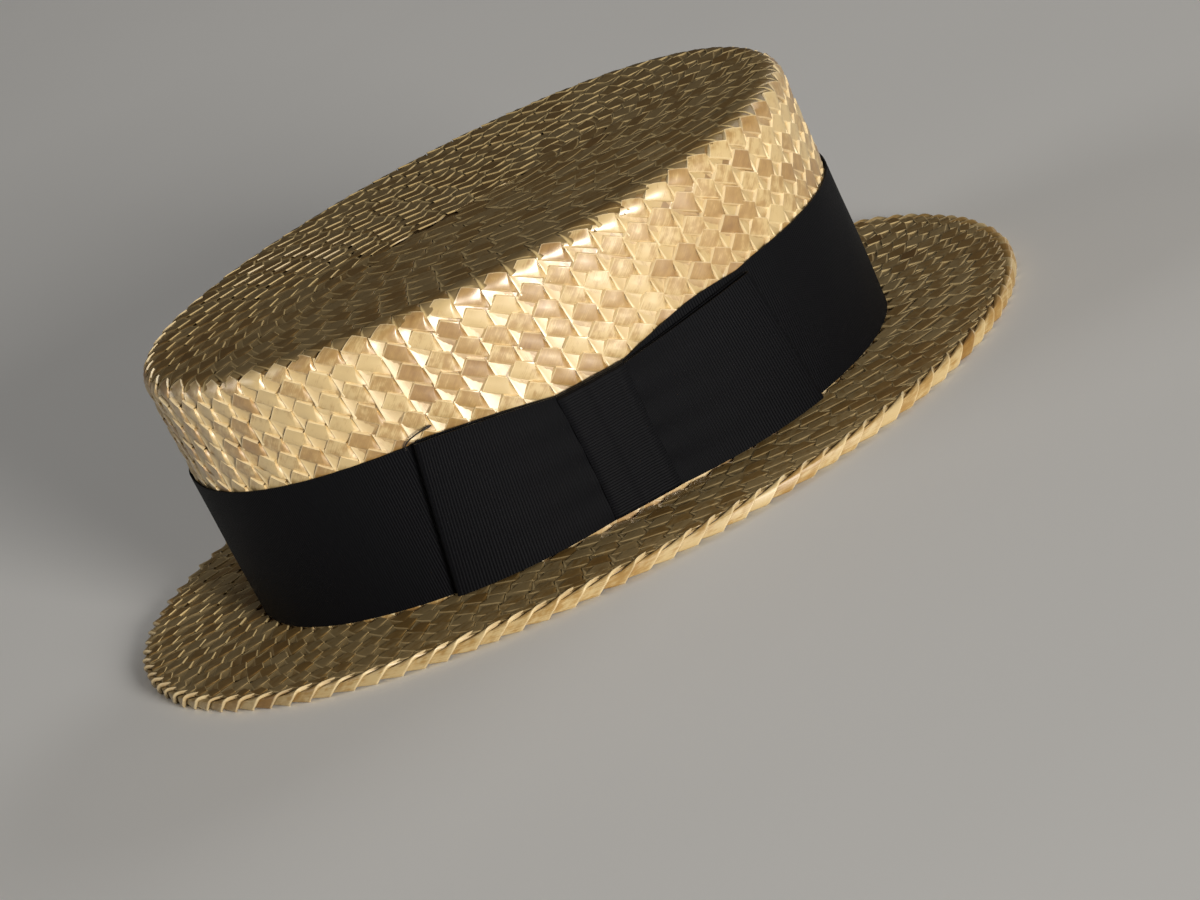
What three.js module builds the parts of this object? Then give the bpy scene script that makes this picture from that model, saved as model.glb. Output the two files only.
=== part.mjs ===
// Straw boater hat, as three.js meshes in millimetres, +Z up.
//
// The hat stands on its brim: the origin is on the flat underside, at the middle of the brim's box.
// The wearer's front is -Y and the wearer's left, where the ribbon bow lies, is +X.
//
// Every piece is a closed solid. Neighbouring pieces keep a small gap, and the crown is open below.

import * as THREE from "three";

// ---- driving dimensions, millimetres ----

const GAP = 0.3; // clear space between neighbouring pieces
const TOTAL_HEIGHT = 84.5; // underside of the brim to the top of the crown
const STRAW_WALL = 2.5; // sewn plait, where each round laps over the next

// The crown's plan is a head oval: a slightly squared ellipse that is wider at the back.
const CROWN_LEVELS = {
  foot: { halfWidth: 84.8, halfLength: 101.0 },
  shoulder: { halfWidth: 84.7, halfLength: 103.0 },
};
const OVAL_POWER = 2.1; // 2 is a plain ellipse, more is squarer
const OVAL_EGG = 0.03; // share by which the back is wider and the front narrower
const SHOULDER_RADIUS = 5.0; // rounding where the side turns over into the flat tip

const BRIM_WIDTH = 39.5; // foot of the crown to the nominal edge, the same all round
const BRIM_TOP = 4.5; // height of the brim's upper face
const BRIM_THICKNESS = 3.0; // two layers of plait
const EDGE_ROUND_WIDTH = 6.6; // the outermost round of plait, turned under at the edge

const EDGE_POINTS = 110; // straw points along the edge
// One straw point of the edge: where along its own length it sticks out, and by how much.
const EDGE_POINT_OUTLINE = [
  { along: 0.0, out: -0.7 },
  { along: 0.35, out: 0.1 },
  { along: 0.78, out: 0.6 },
];

const RIBBON = 1.0; // thickness of the band
const BAND_BOTTOM = BRIM_TOP + GAP;
const BAND_TOP = 50.0;
// The knot draws the band's edges together: fully beside the knot, and less away from it.
const PINCH = { atTop: 5.6, atBottom: 2.4, fullHalfLength: 11.5, fadeLength: 18.0 };

const BOW_MIDDLE = -3.4; // the bow's middle along Y
const LEAF = 0.8; // thickness of one leaf of a folded loop
// The two loops of the bow: which way each runs from the knot, and the places of its outer fold.
const BOW_LOOPS = [
  { name: "bow_loop_front", way: -1, reachTop: 47.3, reachBottom: 54.6, top: 50.7, bottom: 4.9 },
  { name: "bow_loop_back", way: 1, reachTop: 52.2, reachBottom: 57.0, top: 48.8, bottom: 4.9 },
];
const LOOP_START = 1.5; // the loops' ends under the knot, from the bow's middle
const LOOP_AT_KNOT = { top: 43.0, bottom: 7.8 };
const LOOP_SPREAD = { atKnot: 0.35, atFold: 1.7 }; // clear space between a loop's two leaves

const KNOT = { halfLength: 10.2, thickness: 1.1, top: 45.8, bottom: 5.8 };

// Flat outline of a ribbon's cross-section, used to fill the two ends of a strip.
const RIBBON_SECTION = [
  new THREE.Vector2(0, 0),
  new THREE.Vector2(1, 0),
  new THREE.Vector2(1, 1),
  new THREE.Vector2(0, 1),
];

// ---- steps used to facet the curves ----

const OVAL_STEPS = 96;
const BAND_STEPS = 192;
const SHOULDER_STEPS = 5;
const LEAF_STEPS = 12;
const FOLD_STEPS = 6;
const KNOT_STEPS = 6;

// ---- materials ----

const straw = () =>
  new THREE.MeshStandardMaterial({ color: 0xd3b478, roughness: 0.42, metalness: 0 });
const ribbon = () =>
  new THREE.MeshStandardMaterial({ color: 0x0c0d12, roughness: 0.75, metalness: 0 });

// ---- the ovals that everything follows ----

const mix = (from, to, share) => from + (to - from) * share;

// Point of a head oval at an angle from +X towards +Y.
function ovalPoint(angle, halfWidth, halfLength) {
  const across = Math.cos(angle);
  const along = Math.sin(angle);
  const power = Math.abs(across) ** OVAL_POWER + Math.abs(along) ** OVAL_POWER;
  const radius = power ** (-1 / OVAL_POWER);
  const y = halfLength * radius * along;
  const x = halfWidth * radius * across * (1 + (OVAL_EGG * y) / halfLength);
  return new THREE.Vector2(x, y);
}

// Point on the crown's outer side at an angle and height, moved outwards by an offset.
function crownPoint(angle, height, offset) {
  const { foot, shoulder } = CROWN_LEVELS;
  const share = height / (TOTAL_HEIGHT - SHOULDER_RADIUS);
  const halfWidth = mix(foot.halfWidth, shoulder.halfWidth, share) + offset;
  const halfLength = mix(foot.halfLength, shoulder.halfLength, share) + offset;
  const flat = ovalPoint(angle, halfWidth, halfLength);
  return new THREE.Vector3(flat.x, flat.y, height);
}

// Angle at which the bow side of the crown has a given place along Y.
const bowSideAngle = (y) => Math.asin(y / CROWN_LEVELS.foot.halfLength);

function ovalAngles(steps = OVAL_STEPS) {
  return Array.from({ length: steps }, (_, step) => (2 * Math.PI * step) / steps);
}

// Outline of the crown's foot moved outwards, as plan points: the brim's edges follow it.
function footOutline(offset) {
  const { halfWidth, halfLength } = CROWN_LEVELS.foot;
  return ovalAngles().map((angle) => ovalPoint(angle, halfWidth + offset, halfLength + offset));
}

// ---- building closed solids ----

function signedVolume(points, faces) {
  const volume = faces.reduce((sum, [a, b, c]) => {
    const normal = new THREE.Vector3().crossVectors(points[b], points[c]);
    return sum + points[a].dot(normal);
  }, 0);
  return volume / 6;
}

function solidFrom(points, faces) {
  const outward = signedVolume(points, faces) > 0;
  const ordered = outward ? faces : faces.map(([a, b, c]) => [a, c, b]);
  const geometry = new THREE.BufferGeometry();
  const coordinates = points.flatMap((point) => point.toArray());
  geometry.setAttribute("position", new THREE.Float32BufferAttribute(coordinates, 3));
  geometry.setIndex(ordered.flat());
  geometry.computeVertexNormals();
  return geometry;
}

// Joins a row of rings, each a list of as many points, into one solid. An open row gets its two
// end rings filled, with the triangles of the flat outline given; a closed row needs none.
function loft(rings, endOutline = null) {
  const size = rings[0].length;
  const points = rings.flat();
  const faces = [];
  const last = endOutline ? rings.length - 1 : rings.length;
  for (let ring = 0; ring < last; ring += 1) {
    const next = (ring + 1) % rings.length;
    for (let step = 0; step < size; step += 1) {
      const beside = (step + 1) % size;
      const corner = ring * size + step;
      const cornerBeside = ring * size + beside;
      const above = next * size + step;
      const aboveBeside = next * size + beside;
      faces.push([corner, cornerBeside, aboveBeside], [corner, aboveBeside, above]);
    }
  }
  if (endOutline) {
    const fill = THREE.ShapeUtils.triangulateShape(endOutline, []);
    const counterClockwise = THREE.ShapeUtils.area(endOutline) > 0;
    const wound = counterClockwise ? fill : fill.map(([a, b, c]) => [a, c, b]);
    const end = (rings.length - 1) * size;
    for (const [a, b, c] of wound) {
      faces.push([a, c, b], [end + a, end + b, end + c]);
    }
  }
  return solidFrom(points, faces);
}

// A flat ring between an outer and an inner outline, from one height to another.
function flatRing(outer, inner, bottom, top) {
  const shape = new THREE.Shape(outer);
  shape.holes.push(new THREE.Path(inner));
  const geometry = new THREE.ExtrudeGeometry(shape, { depth: top - bottom, bevelEnabled: false });
  return geometry.translate(0, 0, bottom);
}

function piece(name, geometry, material) {
  const mesh = new THREE.Mesh(geometry, material);
  mesh.name = name;
  return mesh;
}

// ---- crown: one hollow wall, from the middle of its inner face round the foot to the top ----

// Rounding between the side and the tip, as how far in from the side and how high each ring is.
function shoulderRounding(radius, height) {
  return Array.from({ length: SHOULDER_STEPS }, (_, step) => {
    const turn = ((step + 1) / SHOULDER_STEPS) * (Math.PI / 2);
    return { inset: radius * (1 - Math.cos(turn)), height: height - radius * (1 - Math.sin(turn)) };
  });
}

function crownRing(inset, height) {
  return ovalAngles().map((angle) => crownPoint(angle, height, -inset));
}

function crownSolid() {
  const foot = BRIM_TOP - BRIM_THICKNESS;
  const outside = [
    { inset: 0, height: foot },
    { inset: 0, height: TOTAL_HEIGHT - SHOULDER_RADIUS },
    ...shoulderRounding(SHOULDER_RADIUS, TOTAL_HEIGHT),
  ];
  const inside = [
    { inset: 0, height: foot },
    { inset: 0, height: TOTAL_HEIGHT - SHOULDER_RADIUS },
    ...shoulderRounding(SHOULDER_RADIUS - STRAW_WALL, TOTAL_HEIGHT - STRAW_WALL),
  ];
  const insideRings = inside.map((level) => crownRing(level.inset + STRAW_WALL, level.height));
  const outsideRings = outside.map((level) => crownRing(level.inset, level.height));
  const rings = [...insideRings.reverse(), ...outsideRings];
  const tipOutline = rings[0].map((point) => new THREE.Vector2(point.x, point.y));
  return loft(rings, tipOutline);
}

// ---- brim: the flat ring, and the toothed round that edges it ----

function brimSolid() {
  const outer = footOutline(BRIM_WIDTH - EDGE_ROUND_WIDTH - GAP);
  const hole = crownRing(-GAP, BRIM_TOP).map(({ x, y }) => new THREE.Vector2(x, y));
  return flatRing(outer, hole, BRIM_TOP - BRIM_THICKNESS, BRIM_TOP);
}

function edgeSolid() {
  const { halfWidth, halfLength } = CROWN_LEVELS.foot;
  const pitch = (2 * Math.PI) / EDGE_POINTS;
  const outline = [];
  for (let tooth = 0; tooth < EDGE_POINTS; tooth += 1) {
    for (const { along, out } of EDGE_POINT_OUTLINE) {
      const offset = BRIM_WIDTH + out;
      outline.push(ovalPoint((tooth + along) * pitch, halfWidth + offset, halfLength + offset));
    }
  }
  return flatRing(outline, footOutline(BRIM_WIDTH - EDGE_ROUND_WIDTH), 0, BRIM_TOP);
}

// ---- ribbon: the band, the bow's two loops and the knot ----

// How much the knot draws the band together, 1 beside the knot and 0 away from it.
function pinchShare(point) {
  if (point.x < 0) {
    return 0;
  }
  const away = Math.abs(point.y - BOW_MIDDLE) - PINCH.fullHalfLength;
  const fade = THREE.MathUtils.clamp(away / PINCH.fadeLength, 0, 1);
  return (1 + Math.cos(Math.PI * fade)) / 2;
}

function bandSolid() {
  const sections = ovalAngles(BAND_STEPS).map((angle) => {
    const share = pinchShare(crownPoint(angle, BAND_BOTTOM, 0));
    const bottom = BAND_BOTTOM + PINCH.atBottom * share;
    const top = BAND_TOP - PINCH.atTop * share;
    return [
      crownPoint(angle, bottom, GAP),
      crownPoint(angle, bottom, GAP + RIBBON),
      crownPoint(angle, top, GAP + RIBBON),
      crownPoint(angle, top, GAP),
    ];
  });
  return loft(sections);
}

// Crown side to the back of a loop's inner leaf. The leaves are straight between their stations,
// so they need a little more than the usual gap round the curved band.
const LOOP_OFFSET = GAP + RIBBON + 1.7 * GAP;

// Clear space between a loop's leaves at a place along it: closed under the knot, open at the fold.
function leafSpread(along, reach) {
  const underKnot = KNOT.halfLength + 1;
  const share = THREE.MathUtils.clamp((along - underKnot) / (reach - underKnot), 0, 1);
  return mix(LOOP_SPREAD.atKnot, LOOP_SPREAD.atFold, share);
}

// The middle line of a loop's ribbon seen from above, as distance from the bow's middle along the
// crown and offset from the crown: out along the inner leaf, round the fold, back along the outer.
function loopLine(reach) {
  const inner = LOOP_OFFSET + LEAF / 2;
  const foldRadius = (leafSpread(reach, reach) + LEAF) / 2;
  const places = Array.from({ length: LEAF_STEPS + 1 }, (_, step) =>
    mix(LOOP_START, reach - foldRadius, step / LEAF_STEPS),
  );
  const outwards = places.map((along) => new THREE.Vector2(along, inner));
  const fold = Array.from({ length: FOLD_STEPS - 1 }, (_, step) => {
    const turn = ((step + 1) / FOLD_STEPS) * Math.PI;
    const round = new THREE.Vector2(Math.sin(turn), 1 - Math.cos(turn)).multiplyScalar(foldRadius);
    return round.add(new THREE.Vector2(reach - foldRadius, inner));
  });
  const back = places.map((along) =>
    new THREE.Vector2(along, inner + LEAF + leafSpread(along, reach)),
  );
  return [...outwards, ...fold, ...back.reverse()];
}

// The two faces of the ribbon at one station of its middle line.
function leafFaces(line, station) {
  const before = line[Math.max(station - 1, 0)];
  const after = line[Math.min(station + 1, line.length - 1)];
  const direction = new THREE.Vector2().subVectors(after, before).normalize();
  const half = new THREE.Vector2(direction.y, -direction.x).multiplyScalar(LEAF / 2);
  return [line[station].clone().add(half), line[station].clone().sub(half)];
}

// A loop is a ribbon folded back on itself. Its edges run straight from the knot to the fold.
function loopSolid({ way, reachTop, reachBottom, top, bottom }) {
  const edgePoint = ({ x: along, y: offset }, reach, atKnot, atFold) => {
    const height = mix(atKnot, atFold, (along - LOOP_START) / (reach - LOOP_START));
    return crownPoint(bowSideAngle(BOW_MIDDLE + way * along), height, offset);
  };
  const topLine = loopLine(reachTop);
  const bottomLine = loopLine(reachBottom);
  const sections = topLine.map((_, station) => {
    const lower = leafFaces(bottomLine, station).map((face) =>
      edgePoint(face, reachBottom, LOOP_AT_KNOT.bottom, bottom),
    );
    const upper = leafFaces(topLine, station).map((face) =>
      edgePoint(face, reachTop, LOOP_AT_KNOT.top, top),
    );
    return [lower[0], lower[1], upper[1], upper[0]];
  });
  return loft(sections, RIBBON_SECTION);
}

// The knot is a strip laid over the loops, with a lip at its top and bottom turned back to the
// crown over the band's edges.
function knotSolid() {
  const inner = LOOP_OFFSET + 2 * LEAF + LOOP_SPREAD.atKnot + GAP;
  const outer = inner + KNOT.thickness;
  const lip = KNOT.thickness;
  const outline = [
    { offset: GAP, height: KNOT.bottom },
    { offset: outer, height: KNOT.bottom },
    { offset: outer, height: KNOT.top },
    { offset: GAP, height: KNOT.top },
    { offset: GAP, height: KNOT.top - lip },
    { offset: inner, height: KNOT.top - lip },
    { offset: inner, height: KNOT.bottom + lip },
    { offset: GAP, height: KNOT.bottom + lip },
  ];
  const sections = Array.from({ length: KNOT_STEPS + 1 }, (_, step) => {
    const y = BOW_MIDDLE + mix(-KNOT.halfLength, KNOT.halfLength, step / KNOT_STEPS);
    return outline.map(({ offset, height }) => crownPoint(bowSideAngle(y), height, offset));
  });
  const flat = outline.map(({ offset, height }) => new THREE.Vector2(offset, height));
  return loft(sections, flat);
}

// ---- the hat ----

const hat = new THREE.Group();
hat.add(
  piece("crown", crownSolid(), straw()),
  piece("brim", brimSolid(), straw()),
  piece("brim_edge", edgeSolid(), straw()),
  piece("hat_band", bandSolid(), ribbon()),
  ...BOW_LOOPS.map((loop) => piece(loop.name, loopSolid(loop), ribbon())),
  piece("bow_knot", knotSolid(), ribbon()),
);

export default hat;
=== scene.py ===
"""Looks of the straw boater hat: sewn straw plait, black grosgrain band and bow.

The plait is laid as real geometry. Lengths in the plait and ribbon sections are in millimetres, and
every mesh is written in metres, in the same frame as the CAD model.
"""

import math

import bpy
import numpy as np
from mathutils import Matrix, Vector


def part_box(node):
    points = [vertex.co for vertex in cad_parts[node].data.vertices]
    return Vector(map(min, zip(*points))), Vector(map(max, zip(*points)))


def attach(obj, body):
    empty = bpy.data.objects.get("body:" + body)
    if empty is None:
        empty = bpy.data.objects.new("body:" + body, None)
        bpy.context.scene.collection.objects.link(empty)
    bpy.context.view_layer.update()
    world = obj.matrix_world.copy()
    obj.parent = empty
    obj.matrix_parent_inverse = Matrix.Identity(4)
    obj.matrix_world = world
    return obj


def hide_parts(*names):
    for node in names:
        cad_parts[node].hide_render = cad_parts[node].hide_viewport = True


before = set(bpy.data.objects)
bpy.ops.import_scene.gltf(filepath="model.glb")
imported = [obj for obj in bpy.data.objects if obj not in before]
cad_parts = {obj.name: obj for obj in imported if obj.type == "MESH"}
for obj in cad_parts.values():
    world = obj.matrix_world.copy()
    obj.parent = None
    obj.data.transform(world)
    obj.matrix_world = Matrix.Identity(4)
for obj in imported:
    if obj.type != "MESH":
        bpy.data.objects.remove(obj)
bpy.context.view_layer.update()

MM = 0.001
rng = np.random.default_rng(1912)


# ---- the hat's main sizes, from the frame and from the CAD model's driving dimensions ----


def box_mm(node):
    low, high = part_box(node)
    return np.array(low) / MM, np.array(high) / MM


crown_low, crown_high = box_mm("crown")
brim_low, brim_high = box_mm("brim")
band_low, band_high = box_mm("hat_band")
knot_low, knot_high = box_mm("bow_knot")

HEIGHT = crown_high[2]
FOOT_HEIGHT = crown_low[2]
BRIM_TOP = brim_high[2]
BRIM_BOTTOM = brim_low[2]

FOOT_HALF = np.array([84.8, 101.0])  # the crown's half width and half length at its foot
SHOULDER_HALF = np.array([84.7, 103.0])  # and at its shoulder
OVAL_POWER = 2.1
OVAL_EGG = 0.03
SHOULDER_RADIUS = 5.0
STRAW_WALL = 2.5
BRIM_WIDTH = 39.5
BRIM_COVER = 1.6  # the brim's cells end this far inside its edge
EDGE_POINTS = 110

TIP_RUN = SHOULDER_HALF[0] - SHOULDER_RADIUS  # tip centre to the start of the rounding
SHOULDER_RUN = SHOULDER_RADIUS * math.pi / 2
FOOT_RUN = TIP_RUN + SHOULDER_RUN + HEIGHT - SHOULDER_RADIUS - FOOT_HEIGHT


# ---- the surfaces that the plait is laid on ----


def oval(angle, half_width, half_length):
    """Plan points of a head oval, at angles from +X towards +Y."""
    across, along = np.cos(angle), np.sin(angle)
    power = np.abs(across) ** OVAL_POWER + np.abs(along) ** OVAL_POWER
    radius = power ** (-1 / OVAL_POWER)
    x = half_width * radius * across * (1 + OVAL_EGG * radius * along)
    return x, half_length * radius * along


def crown_surface(angle, run, lift, depth=0.0):
    """Points of the crown at a run from the tip's middle, raised by a lift off the outside.

    With a depth the surface is the inside of a wall of that thickness, and lift points inwards.
    """
    angle, run = np.broadcast_arrays(angle, run)
    run = np.clip(run, 0.05, FOOT_RUN)
    radius = SHOULDER_RADIUS - depth
    outwards = -lift if depth else lift
    turn = np.clip((run - TIP_RUN) / SHOULDER_RADIUS, 0, math.pi / 2)
    inset = depth + radius * (1 - np.sin(turn)) + np.clip(TIP_RUN - run, 0, None)
    drop = depth + radius * (1 - np.cos(turn)) + np.clip(run - TIP_RUN - SHOULDER_RUN, 0, None)
    inset = inset - outwards * np.sin(turn)
    height = HEIGHT - drop + outwards * np.cos(turn)
    share = np.clip(height / (HEIGHT - SHOULDER_RADIUS), 0, 1)
    half = FOOT_HALF + share[..., None] * (SHOULDER_HALF - FOOT_HALF)
    half = np.maximum(half - inset[..., None], 0.02)
    x, y = oval(angle, half[..., 0], half[..., 1])
    return np.stack([x, y, height], axis=-1)


def crown_inside(angle, run, lift):
    return crown_surface(angle, run, lift, depth=STRAW_WALL)


def brim_surface(angle, run, lift, under=False):
    """Points of the brim at a run outwards from the crown's foot, on its top or its underside."""
    run = np.minimum(run, BRIM_WIDTH - BRIM_COVER)
    x, y = oval(angle, FOOT_HALF[0] + run, FOOT_HALF[1] + run)
    height = BRIM_BOTTOM - lift if under else BRIM_TOP + lift
    return np.stack([x, y, np.broadcast_to(height, x.shape)], axis=-1)


def brim_underside(angle, run, lift):
    return brim_surface(angle, run, lift, under=True)


def side_point(angle, height, offset):
    """Point on the crown's side at a height, moved outwards: the ribbons follow it."""
    share = np.asarray(height) / (HEIGHT - SHOULDER_RADIUS)
    half = FOOT_HALF + share[..., None] * (SHOULDER_HALF - FOOT_HALF)
    half = half + np.asarray(offset)[..., None]
    x, y = oval(angle, half[..., 0], half[..., 1])
    return np.stack([x, y, height], axis=-1)


# ---- meshes ----

SHARP_EDGE = math.radians(50)


def make_mesh(name, points, faces, material, smooth=True, sharp_over=None):
    """A piece from points in millimetres."""
    mesh = bpy.data.meshes.new(name)
    mesh.from_pydata((np.asarray(points) * MM).tolist(), [], faces)
    mesh.polygons.foreach_set("use_smooth", np.broadcast_to(smooth, len(faces)).astype(bool))
    mesh.update()
    if sharp_over is not None:
        mesh.set_sharp_from_angle(angle=sharp_over)
    piece = bpy.data.objects.new(name, mesh)
    bpy.context.scene.collection.objects.link(piece)
    mesh.materials.append(material)
    return piece


def add_number(piece, name, values):
    attribute = piece.data.attributes.new(name, "FLOAT", "POINT")
    attribute.data.foreach_set("value", np.asarray(values, np.float32).ravel())


def add_uv(piece, name, pairs):
    """Puts a pair of coordinates for each vertex on the corners that use it."""
    mesh = piece.data
    corners = np.zeros(len(mesh.loops), np.int32)
    mesh.loops.foreach_get("vertex_index", corners)
    layer = mesh.uv_layers.new(name=name)
    layer.data.foreach_set("uv", np.asarray(pairs, np.float32)[corners].ravel())


def part_of_hat(piece, slot, *nodes):
    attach(piece, "root")
    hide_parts(*nodes)
    return piece


# ---- one cell of the plait ----
#
# A round of plait shows as a row of cells. Places in a cell are (along, up): along the round in
# pitches, and up towards the tip of the crown in exposed widths, from the point of the cell's tooth.
# lift is in millimetres off the hat's surface.

PITCH = 8.41
EXPOSED = 6.6
LIFT_LIMIT = 0.38
DEPTH_LIMIT = 1.0
FULLY_DEEP = 1.3  # painted shade of sunk straw is darkest at this depth

# The float is the straw on top. Its upper and left edges are folds and make the tooth. It bends
# down at its right, along the crease from the valley to the turn, and goes under there.
FLOAT_CORNERS = {
    "peak": (0.0, 0.0, -0.02),
    "valley": (0.54, -0.42, 0.26),
    "turn": (0.39, -1.23, -0.16),
    "fold_foot": (-0.455, -0.56, -0.42),
    "next_valley": (0.62, -1.42, -0.85),
}
FLOAT_LINES = (0.0, 0.03, 0.085, 0.45, 0.8, 0.95, 1.0)
PLAIN_LINES = (0.0, 0.1, 0.5, 1.0)  # for plait that is seen less
BEAD = 0.1  # the folds stand up as a rounded bead beside the flat of the straw
BEND_LINES = (0.5, 1.0)  # from the crease to the float's end
FLOAT_SWELL = 0.32
FOLD_ROLL = 0.2  # how far the folded edges roll down
FOLD_SKIRT = 1.2
FOLD_REACH = 0.035
CUT_SKIRT = 0.5
CUT_REACH = 0.07
ROUNDED_CORNER = 0.12  # share of the float by which the ends of its top edge are rounded off
END_RISE = 0.2  # how much higher the float's end is by the valley than by the next one
FLOAT_RIM = {"folds": 1.0, "turn": 0.9, "below_folds": 0.6, "below_turn": 0.2}  # how pale each part is painted: partly the creased straw's own whitening, partly painted highlight on the folds and the sides below them
FLOAT_PIVOT, FAN_PIVOT = (0.15, -0.6), (0.7, -0.9)  # where in a cell its straws tilt

# The crossing straw comes out from under the next float. Its left edge is a fold as well, a ridge
# from the valley down.
FAN_APEX = (0.55, -0.46, -0.36)
FAN_FEET = {
    "lip": (0.57, -1.40, -0.85),
    "ridge": (0.61, -1.42, -0.28),
    "ridge_side": (0.65, -1.40, -0.28),
    "beside_ridge": (0.72, -1.36, -0.5),
    "next_peak": (1.08, -1.0, -1.2),
    "under_next": (1.16, -0.84, -1.3),
}
# pale paint on the crossing straw's lip and ridge: partly creased straw, partly painted highlight
FAN_RIM = (0.7, 1.0, 1.0, 0.0, 0.1, 0.0)
APEX_RIM = 0.6
FAN_LINES = (0.36, 0.7, 1.0, 1.22)
LIP_DROP = 0.24

# The straw beneath, which shows only where two rounds are out of step.
UNDER_CORNERS = ((-0.46, -0.55, -0.5), (0.40, -1.22, -0.72), (0.48, -1.72, -1.2), (-0.4, -1.2, -1.2))

FLOAT_STRAND, FAN_STRAND, UNDER_STRAND = 0, 1, 2
FLOAT_FIBRE = (0.455 * PITCH, 0.56 * EXPOSED)  # the way the straws' fibres run
FAN_FIBRE = (0.08 * PITCH, -EXPOSED)


def new_tile():
    return {"points": [], "faces": [], "smooth": [], "rim": [], "strand": [], "swell": []}


def add_point(tile, place, rim, strand):
    tile["points"].append(place.tolist())
    tile["rim"].append(rim)
    tile["swell"].append(0.0)
    tile["strand"].append(strand)


def add_grid(tile, grid, rim, strand, swell, smooth):
    """Adds a grid of points to a tile and returns the numbers of its points."""
    rows, columns = grid.shape[:2]
    first = len(tile["points"])
    number = first + np.arange(rows * columns).reshape(rows, columns)
    tile["points"] += grid.reshape(-1, 3).tolist()
    tile["rim"] += np.ravel(rim).tolist()
    tile["swell"] += np.ravel(swell).tolist()
    tile["strand"] += [strand] * (rows * columns)
    for row in range(rows - 1):
        for column in range(columns - 1):
            a, b = number[row, column], number[row, column + 1]
            c, d = number[row + 1, column + 1], number[row + 1, column]
            tile["faces"].append((a, d, c, b))
            tile["smooth"].append(smooth)
    return number


def add_float(tile, lines):
    peak, valley, turn, fold_foot, next_valley = (np.array(c) for c in FLOAT_CORNERS.values())
    across, down = np.meshgrid(lines, lines)
    across, down = across[..., None], down[..., None]
    top = peak + (valley - peak) * across
    bottom = fold_foot + (turn - fold_foot) * across
    grid = top + (bottom - top) * down
    swell = 16 * (across * (1 - across) * down * (1 - down))[..., 0]
    roll = np.zeros(swell.shape)
    roll[0, :] = FOLD_ROLL
    roll[:, 0] = FOLD_ROLL
    bead = np.zeros(swell.shape)
    bead[1, 1:] = BEAD
    bead[1:, 1] = BEAD
    grid[..., 2] += FLOAT_SWELL * swell - roll + bead
    middle = grid.mean(axis=(0, 1))
    for column in (0, -1):
        grid[0, column, :2] += ROUNDED_CORNER * (middle - grid[0, column])[:2]
    bend = np.array(BEND_LINES)[None, :, None]
    far = grid[0, -1] + (next_valley - grid[0, -1]) * np.array(lines)[:, None]
    far[1:, 2] = next_valley[2] + END_RISE * (1 - np.array(lines[1:]))
    crease = grid[:, -1:]
    grid = np.concatenate([grid, crease + (far[:, None] - crease) * bend], axis=1)
    swell = np.concatenate([swell, np.zeros((len(lines), len(BEND_LINES)))], axis=1)
    rim = np.zeros(swell.shape)
    rim[0:2, : len(lines)] = rim[:, 0:2] = FLOAT_RIM["folds"]
    rim[-1, : len(lines)] = FLOAT_RIM["turn"]
    number = add_grid(tile, grid, rim, FLOAT_STRAND, swell, True)
    points = np.array(tile["points"])
    fold = [*number[:0:-1, 0], *number[0, : len(lines)]]
    cut = list(number[-1, ::-1])
    add_skirt(tile, points, fold, (-FOLD_REACH, FOLD_REACH, -FOLD_SKIRT), FLOAT_RIM["below_folds"])
    add_skirt(tile, points, cut, (0, -CUT_REACH, -CUT_SKIRT), FLOAT_RIM["below_turn"])


def add_skirt(tile, points, border, move, rim):
    """A strip that goes down from a border of the float."""
    first = len(tile["points"])
    for corner in border:
        add_point(tile, points[corner] + move, rim, FLOAT_STRAND)
    for step in range(len(border) - 1):
        tile["faces"].append((border[step], border[step + 1], first + step + 1, first + step))
        tile["smooth"].append(True)


def add_fan(tile):
    apex = np.array(FAN_APEX)
    feet = np.array(list(FAN_FEET.values()))
    lines = np.array(FAN_LINES)[:, None, None]
    grid = apex + (feet - apex) * lines
    grid[:, 0, 2] = np.minimum(grid[:, 0, 2], grid[:, 1, 2] - LIP_DROP)
    rim = np.broadcast_to(FAN_RIM, grid.shape[:2])
    number = add_grid(tile, grid, rim, FAN_STRAND, np.zeros(rim.shape), True)
    point = len(tile["points"])
    add_point(tile, apex, APEX_RIM, FAN_STRAND)
    for column in range(len(feet) - 1):
        tile["faces"].append((point, number[0, column], number[0, column + 1]))
        tile["smooth"].append(True)


def add_under(tile):
    a, b, c, d = (np.array(corner) for corner in UNDER_CORNERS)
    grid = np.array([[a, b], [d, c]])
    add_grid(tile, grid, np.array([[0.5, 0.5], [0, 0]]), UNDER_STRAND, np.zeros((2, 2)), False)


def plait_tile(lines=FLOAT_LINES):
    tile = new_tile()
    add_float(tile, lines)
    add_fan(tile)
    add_under(tile)
    for key in ("points", "rim", "swell", "strand"):
        tile[key] = np.array(tile[key], float)
    return tile


# ---- laying cells along a round ----

SPIRAL_STEPS, ROUND_STEPS = 20000, 4000


def travelled(line):
    """How far along a line each of its points is."""
    steps = np.linalg.norm(np.diff(line, axis=0), axis=1)
    return np.concatenate([[0], np.cumsum(steps)])


def spiral(surface, first_run, exposed, first_turn, last_turn):
    """A path that moves outwards by one exposed width each turn."""
    angle = np.linspace(2 * math.pi * first_turn, 2 * math.pi * last_turn, SPIRAL_STEPS)
    run = first_run + exposed * angle / (2 * math.pi)
    along = travelled(surface(angle, run, 0 * run))
    return {"angle": angle, "run": run, "along": along, "start": along[0], "end": along[-1]}


def closed_round(surface, run, first_angle=0.0):
    """A path once round at one run, carried on a little past both its ends."""
    spare = 0.6
    angle = first_angle + np.linspace(-spare, 2 * math.pi + spare, ROUND_STEPS)
    runs = np.full(angle.shape, float(run))
    along = travelled(surface(angle, runs, 0 * runs))
    start, end = np.interp([first_angle, first_angle + 2 * math.pi], angle, along)
    return {"angle": angle, "run": runs, "along": along, "start": start, "end": end}


# How much painted shade darkens the top-facing tip and brim top, and how deep the plait's relief is:
# it is pressed flatter on the tip and the brim than on the crown's side.
TIP_TOP_SHADE, BRIM_TOP_SHADE = 0.8, 0.68
SIDE_RELIEF, TIP_RELIEF, BRIM_RELIEF = 1.3, 0.3, 0.42


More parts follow.
